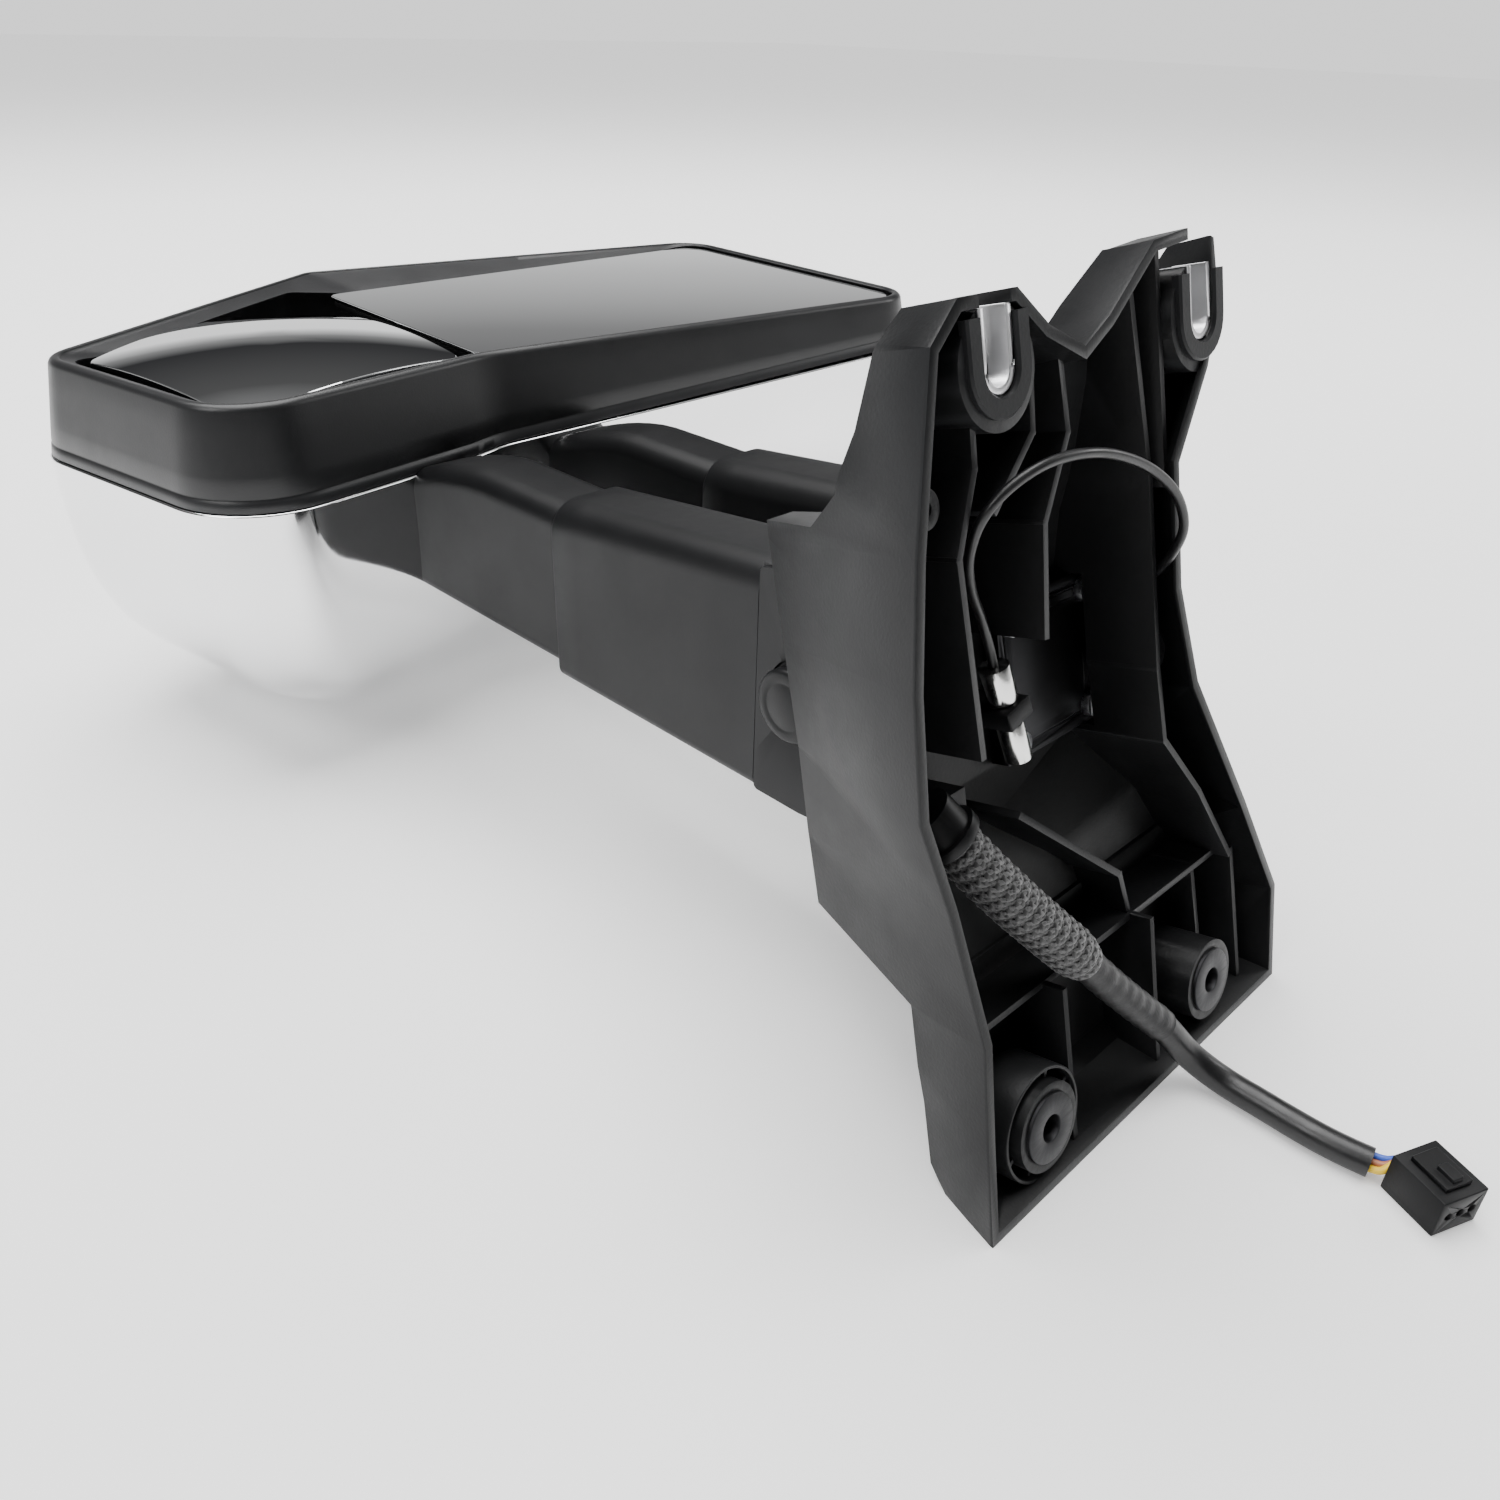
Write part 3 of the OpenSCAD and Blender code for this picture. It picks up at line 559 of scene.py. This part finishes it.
def chrome_shell():
    """The plated back: superelliptic sections that close at its lowest point, with openings for the arms."""
    edge = RIM + RIM_OUT * (-FLARE * SEAM)
    end = (150, 118)
    low = FLOOR / MM - HEAD_ORIGIN[2]
    steps = 44
    loops = []
    for thick in (0.0, 2.6):
        side = []
        for step in range(steps):
            a = math.radians(90 * step / steps)
            ring = []
            for (x, y), (nx, ny) in zip(edge, RIM_OUT):
                px, py = x - nx * thick, y - ny * thick
                q = 2 / (3.2 - 1.2 * min(1, max(0, (px + 25) / 420)))
                top = seam(px) - 0.35
                s, d = math.cos(a) ** q, math.sin(a) ** q
                ring.append(head(end[0] + (px - end[0]) * s, end[1] + (py - end[1]) * s,
                                 top + (low + thick - top) * d))
            side.append(ring)
        side.append([head(end[0] + (x - end[0]) * 0.012, end[1] + (y - end[1]) * 0.012, low + thick)
                     for x, y in edge])
        loops.append(side)
    outer, inner = loops
    verts, faces = rings(list(reversed(inner)) + outer, True, True, True)
    obj = piece("chrome_back", verts, faces, "head", CHROME, "chrome_plated_plastic", ["chrome_cap"], 40)
    cuts = [((x - 1, -60, -95), (x + ARM_W + 1, 60, -30)) for x in ARM_X]
    cuts.append(((110, -60, -80), (151, 50, -30)))
    cut(obj, cuts)
    tidy_normals(obj, 32)
    bevel = obj.modifiers.new("edges", "BEVEL")
    bevel.width = 0.0006
    bevel.segments = 2
    bevel.limit_method = "ANGLE"
    bevel.angle_limit = math.radians(50)


def glass(name, outline, z_of, thick, body, material, slot, replaced, margin=1.3):
    """A glass with a ground edge: rings in from its outline, then a centre fan on the same surface."""
    line = resample(rounded(*outline, 10), 240)
    out = normals(line)
    loops = []
    edge = ((0.25, thick), (0.0, thick - 0.2), (0.0, 0.45), (0.12, 0.18), (0.45, 0.0), (margin, 0.0))
    for inwards, down in edge:
        ring = line - out * inwards
        loops.append([head(x, y, z_of(x, y) - down) for x, y in ring])
    middle = line.mean(0)
    inside = line - out * margin
    for share in (0.85, 0.7, 0.55, 0.4, 0.25, 0.12):
        ring = middle + (inside - middle) * share
        loops.append([head(x, y, z_of(x, y)) for x, y in ring])
    verts, faces = rings(loops, True, False, True)
    return piece(name, verts, faces, body, material, slot, [replaced], 25)


def glasses():
    glass("mirror_main", MAIN_OUTLINE, lambda x, y: -2.0, 2.2, "main_mirror", MIRROR, "mirror_glass",
          "main_glass")
    cx, cy, crown, radius = 66, 88, 4, 450

    def ball(x, y):
        return crown - radius + math.sqrt(radius ** 2 - (x - cx) ** 2 - (y - cy) ** 2)
    glass("mirror_spotter", SPOTTER_OUTLINE, ball, 2.2, "spotter_mirror", SPOT_MIRROR, "mirror_glass",
          "spotter_glass")


# ---- arms ----
def section(w, low, high, y, radius, n=8, inwards=0.0):
    """A rounded rectangle across an arm, its top corners of the given radius."""
    half = w / 2 - inwards
    a, b = low + inwards, high - inwards
    r = max(0.6, radius - inwards)
    rb = max(0.6, 5 - inwards)
    shape = rounded([(-half, a), (half, a), (half, b), (-half, b)], [rb, rb, r, r], n)
    return [(x, y, z) for x, z in shape]


def arm_piece(name, x0, sections, material, replaced, body, caps=(True, True)):
    loops = [[head(x0 + ARM_W / 2 + x, y, z) for x, y, z in s] for s in sections]
    verts, faces = rings(loops, True, *caps)
    return piece(name, verts, faces, body, material, "matte_black_plastic", [replaced], 40)


def arm_cover(name, x0, replaced):
    """Outer cover, with a rolled mouth and a hollow that the sleeve runs in."""
    def at(y, inwards=0.0):
        share = (y - COVER_MOUTH) / (COVER_ROOT - COVER_MOUTH)
        return section(ARM_W, ARM_LOW + 0.5 * share, -23 + 11 * share, y, 12 - 2 * share, 10, inwards)
    mouth = COVER_MOUTH
    rows = [at(COVER_ROOT, 2.5), at(mouth - 6, 2.5), at(mouth - 0.8, 2.45), at(mouth - 0.25, 2.2),
            at(mouth, 1.75), at(mouth, 0.75), at(mouth - 0.25, 0.25), at(mouth - 0.8, 0.0)]
    rows += [at(mouth - 0.8 + (COVER_ROOT + 0.8 - mouth) * k / 8) for k in range(1, 9)]
    rows += [at(COVER_ROOT, 0.4), at(COVER_ROOT, 2.5)]
    return arm_piece(name, x0, rows, ARM_BLACK, replaced, "arms", (False, False))


def arm_sleeve(name, x0, replaced):
    """Inner arm: straight to the head, where its top slopes down into the frame."""
    w, low = ARM_W - 6, ARM_LOW + 3

    def at(y, high, inwards=0.0):
        return section(w, low, high, y, 9, 10, inwards)
    rows = [at(-193, -26, 3.0), at(-193, -26, 0.6), at(-192.4, -26)]
    rows += [at(y, -26) for y in (-160, -130, -100, -70, -45)]
    rows += [at(-45 + 63 * k / 8, -26 - 16 * (k / 8) ** 1.6) for k in range(1, 9)]
    rows += [at(79.4, -49), at(80, -49, 0.6), at(80, -49, 3.0)]
    return arm_piece(name, x0, rows, ARM_BLACK, replaced, "head")


def knuckle_side(name, x0):
    """A flat cheek that carries the cover's side on round the pivot and leaves its washer free."""
    def around(radius, angle):
        return PIVOT_Y + radius * math.cos(angle), PIVOT_Z + radius * math.sin(angle)
    outer = [(COVER_ROOT - 0.15, -14), (COVER_ROOT - 1, -12.2)]
    outer += [around(41, math.radians(a)) for a in range(94, 267, 4)]
    outer += [(COVER_ROOT - 1, -93), (COVER_ROOT - 0.15, -91)]
    outer = resample(np.array(outer), 160)
    inner = np.array([around(13, math.atan2(z - PIVOT_Z, y - PIVOT_Y)) for y, z in outer])
    loops = []
    for x, share in ((1.6, 0.0), (0.4, 0.0), (0.0, 0.012), (0.0, 0.97), (0.5, 1.0), (1.6, 1.0)):
        ring = outer + (inner - outer) * share
        loops.append([head(x0 + x, y, z) for y, z in ring])
    verts, faces = rings(loops + loops[:1])
    return piece(name, verts, faces, "arms", ARM_BLACK, "matte_black_plastic", [], 40)


def pivot_cap():
    """A pressed cap over the head of the pivot pin."""
    turns = [2 * math.pi * k / 64 for k in range(64)]
    profile = ((11.4, 70.4), (12.3, 70.4), (12.3, 68.1), (11.9, 67.3), (10.9, 66.8), (8.6, 66.5),
               (8.2, 66.75), (7.6, 66.75), (7.2, 66.5), (0.4, 66.4))
    loops = [[head(x, PIVOT_Y + r * math.cos(a), PIVOT_Z + r * math.sin(a)) for a in turns]
             for r, x in profile]
    verts, faces = rings(loops, True, False, True)
    piece("pivot_cap", verts, faces, "base", ARM_BLACK, "matte_black_plastic", [], 40)


def arms():
    pivot_cap()
    for x0, side in zip(ARM_X, ("near", "far")):
        knuckle_side("knuckle_side_" + side, x0)
    for x0, side in zip(ARM_X, ("near", "far")):
        arm_cover("arm_cover_" + side, x0, "cover_" + side)
        arm_sleeve("arm_sleeve_" + side, x0, "sleeve_" + side)


# ---- CAD nodes that stay: softened edges and their own materials ----
def keep(names, material, width=0.0005, angle=35):
    for name in names:
        obj = node[name]
        obj.data.materials.clear()
        obj.data.materials.append(material)
        for f in obj.data.polygons:
            f.use_smooth = True
            f.material_index = 0
        weld = obj.modifiers.new("weld", "WELD")
        weld.merge_threshold = 0.00002
        if width:
            bevel = obj.modifiers.new("edges", "BEVEL")
            bevel.width = width
            bevel.segments = 2
            bevel.limit_method = "ANGLE"
            bevel.angle_limit = math.radians(angle)
            bevel.harden_normals = True
        else:
            for e in obj.data.edges:
                e.use_edge_sharp = False


def kept_nodes():
    keep(["head_frame", "main_backing", "spotter_backing", "main_actuator", "spotter_base", "antenna_clip"],
         DEEP_BLACK)
    keep(["actuator_lid", "yoke", "harness_gland"], ARM_BLACK, 0.0012)
    keep(["base_shell"], BASE_BLACK, 0.0007)
    keep(["slide_bushes"], ACETAL)
    keep(["tube_near", "tube_far"], ALLOY, 0.0003)
    keep(["tube_stops", "detent_ring"], CAST)
    keep(["pivot_bracket"], BLACKED)
    keep(["fixing_bushes", "pivot_pin", "pivot_washers"], BLACKED, 0.0003)
    keep(["slot_inserts"], LINER, 0.0003)
    keep(["frame_screws", "tilt_motors", "main_gimbal", "spotter_gimbal", "bracket_screws", "disc_springs",
          "pivot_nut"], STEEL, 0.0002)
    keep(["main_heater"], DARK, 0)
    keep(["antenna_plug", "antenna_socket"], NICKEL, 0.0003)
    keep(["connector_shell", "connector_latch"], DEEP_BLACK, 0.0004)


def ear_collars():
    """A raised U-shaped collar round each slot of the ears."""
    wide = 9.6
    for side, x in SLOT_X.items():
        path = [(x - wide, SLOT_H + k) for k in (12, 8, 4)]
        path += [(x + wide * math.cos(math.radians(a)), SLOT_H + wide * math.sin(math.radians(a)))
                 for a in range(180, 361, 12)]
        path += [(x + wide, SLOT_H + k) for k in (4, 8, 12)]
        line = np.array(path)
        run = np.gradient(line, axis=0)
        run /= np.linalg.norm(run, axis=1)[:, None]
        out = np.stack([run[:, 1], -run[:, 0]], 1)
        loops = []
        for w, v in ((-2.9, 2.0), (-2.9, -0.1), (-2.3, -0.7), (1.9, -0.7), (2.5, -0.1), (2.5, 2.0)):
            loops.append([base(*(q[0], v, q[1])) for q in line + out * w])
        count = len(line)
        verts = [p for loop in loops for p in loop]
        faces = [(k * count + i, k * count + i + 1, ((k + 1) % 6) * count + i + 1, ((k + 1) % 6) * count + i)
                 for k in range(6) for i in range(count - 1)]
        faces.append(tuple(k * count for k in range(6)))
        faces.append(tuple(k * count + count - 1 for k in range(5, -1, -1)))
        piece("ear_collar_" + side, verts, faces, "base", BASE_BLACK, "satin_black_plastic", [], 40)


def boss_webs():
    """The near lower boss's round recess: a ring wall with eight webs, cut off by the shell's lower wall."""
    def at(u, v, h):
        """A point of the base, never below the level line of the shell's lower wall."""
        return base(u, v, max(h, -17.2 + 0.268 * v))
    turns = [2 * math.pi * k / 96 for k in range(96)]
    profile = ((18.2, 18), (18.2, 3.4), (17.9, 3), (17.1, 3), (16.8, 3.4), (16.8, 18))
    loops = [[at(r * math.cos(a), v, r * math.sin(a)) for a in turns] for r, v in profile]
    verts, faces = rings(loops + loops[:1])
    sides = ((0, 1, 2, 3), (7, 6, 5, 4), (0, 4, 5, 1), (1, 5, 6, 2), (2, 6, 7, 3), (3, 7, 4, 0))
    for k in range(8):
        a = 2 * math.pi * (k + 0.5) / 8
        along, across = (math.cos(a), math.sin(a)), (-math.sin(a) * 0.7, math.cos(a) * 0.7)
        corner = len(verts)
        for v in (5, 18):
            for r, s in ((13.6, -1), (17.2, -1), (17.2, 1), (13.6, 1)):
                verts.append(at(along[0] * r + across[0] * s, v, along[1] * r + across[1] * s))
        faces += [tuple(corner + i for i in f) for f in sides]
    piece("boss_webs_near", verts, faces, "base", BASE_BLACK, "satin_black_plastic", [], 40)


WIRE_COLOURS = {"yellow": (0.75, 0.5, 0.02), "brown": (0.36, 0.13, 0.06), "blue": (0.04, 0.1, 0.5)}


def wires():
    """Three wires from the cable's end into the plug."""
    made = []
    for k, (name, colour) in zip((-1, 0, 1), WIRE_COLOURS.items()):
        route = [(73.6 + k * 2, -66.5, -15.2 + k), (74.6 + k * 2.4, -70.2, -14.6 + k * 0.6),
                 (77.6 + k * 3.3, -72.6 - k * 0.8, -13.6), (79.63 + k * 4.07, -74.45 - k * 1.68, -13.2),
                 (77.5 + k * 4.16, -79.6 - k * 1.72, -13.2)]
        verts, faces = tube([row(p) for p in smooth_route(route, 6)], 0.00115, 14)
        obj = piece("wire_" + name, verts, faces, "base", rubber("wire_" + name, colour, 0.4), "wire_skin",
                    ["connector_wires"] if k == 0 else [], 60)
        made.append(obj)
    return made


# ---- studio ----
def studio():
    scene = bpy.context.scene
    mesh = bpy.data.meshes.new("floor")
    size = 12
    corners = [(x * size, y * size, FLOOR) for x, y in ((-1, -1), (1, -1), (1, 1), (-1, 1))]
    mesh.from_pydata(corners, [], [(0, 1, 2, 3)])
    floor = bpy.data.objects.new("floor", mesh)
    scene.collection.objects.link(floor)
    n = Nodes("floor")
    tone = n.mix(n.noise(3, 2), (0.90, 0.90, 0.90), (0.92, 0.92, 0.92))
    n.finish(tone, n.ramp(n.noise(30), 0.3, 0.7, 0.7, 0.8), specular=0.1)
    away = n.add("ShaderNodeVectorMath", operation="LENGTH")
    n.link(n.coords, away.inputs[0])
    n.link(tone, n.shader.inputs["Emission Color"])
    n.link(n.ramp(away.outputs["Value"], 0.5, 2.2, 0.3, 1.0), n.shader.inputs["Emission Strength"])
    mesh.materials.append(n.material)

    world = bpy.data.worlds.new("studio")
    scene.world = world
    world.use_nodes = True
    tree = world.node_tree
    background = tree.nodes["Background"]
    coords = tree.nodes.new("ShaderNodeTexCoord")
    split = tree.nodes.new("ShaderNodeSeparateXYZ")
    ramp = tree.nodes.new("ShaderNodeValToRGB")
    tree.links.new(coords.outputs["Generated"], split.inputs["Vector"])
    tree.links.new(split.outputs["Z"], ramp.inputs["Fac"])
    stops = ramp.color_ramp.elements
    stops[0].position, stops[0].color = 0.13, (1, 1, 1, 1)
    stops[1].position, stops[1].color = 0.27, (0.035, 0.035, 0.037, 1)
    for place, grey in ((0.17, 0.55), (0.21, 0.22), (0.5, 0.08), (0.8, 0.5)):
        stops.new(place).color = (grey, grey, grey, 1)
    side = tree.nodes.new("ShaderNodeVectorMath")
    side.operation = "DOT_PRODUCT"
    side.inputs[1].default_value = (0.7, 0.7, 0)
    tree.links.new(coords.outputs["Generated"], side.inputs[0])
    share = tree.nodes.new("ShaderNodeMapRange")
    for key, v in zip(("From Min", "From Max", "To Min", "To Max"), (-0.4, 0.4, 0.35, 1.25)):
        share.inputs[key].default_value = v
    tree.links.new(side.outputs["Value"], share.inputs["Value"])
    tree.links.new(ramp.outputs["Color"], background.inputs["Color"])
    tree.links.new(share.outputs["Result"], background.inputs["Strength"])

    def area(name, place, aim, size, power):
        data = bpy.data.lights.new(name, "AREA")
        data.shape = "RECTANGLE"
        data.size, data.size_y = size
        data.energy = power
        light = bpy.data.objects.new(name, data)
        light.location = place
        light.rotation_euler = (Vector(aim) - Vector(place)).to_track_quat("-Z", "Y").to_euler()
        scene.collection.objects.link(light)
    area("key", (-1.5, 0.35, 1.5), (0.0, 0.2, 0.05), (1.1, 0.8), 20)
    area("fill", (1.6, -0.5, 1.0), (0.1, 0.1, 0.05), (0.8, 0.6), 9)
    area("top", (0.2, 0.9, 2.6), (0.1, 0.25, 0.0), (2.6, 2.6), 165)


bezel()
chrome_shell()
glasses()
arms()
kept_nodes()
ear_collars()
boss_webs()
wire_parts = wires()
studio()
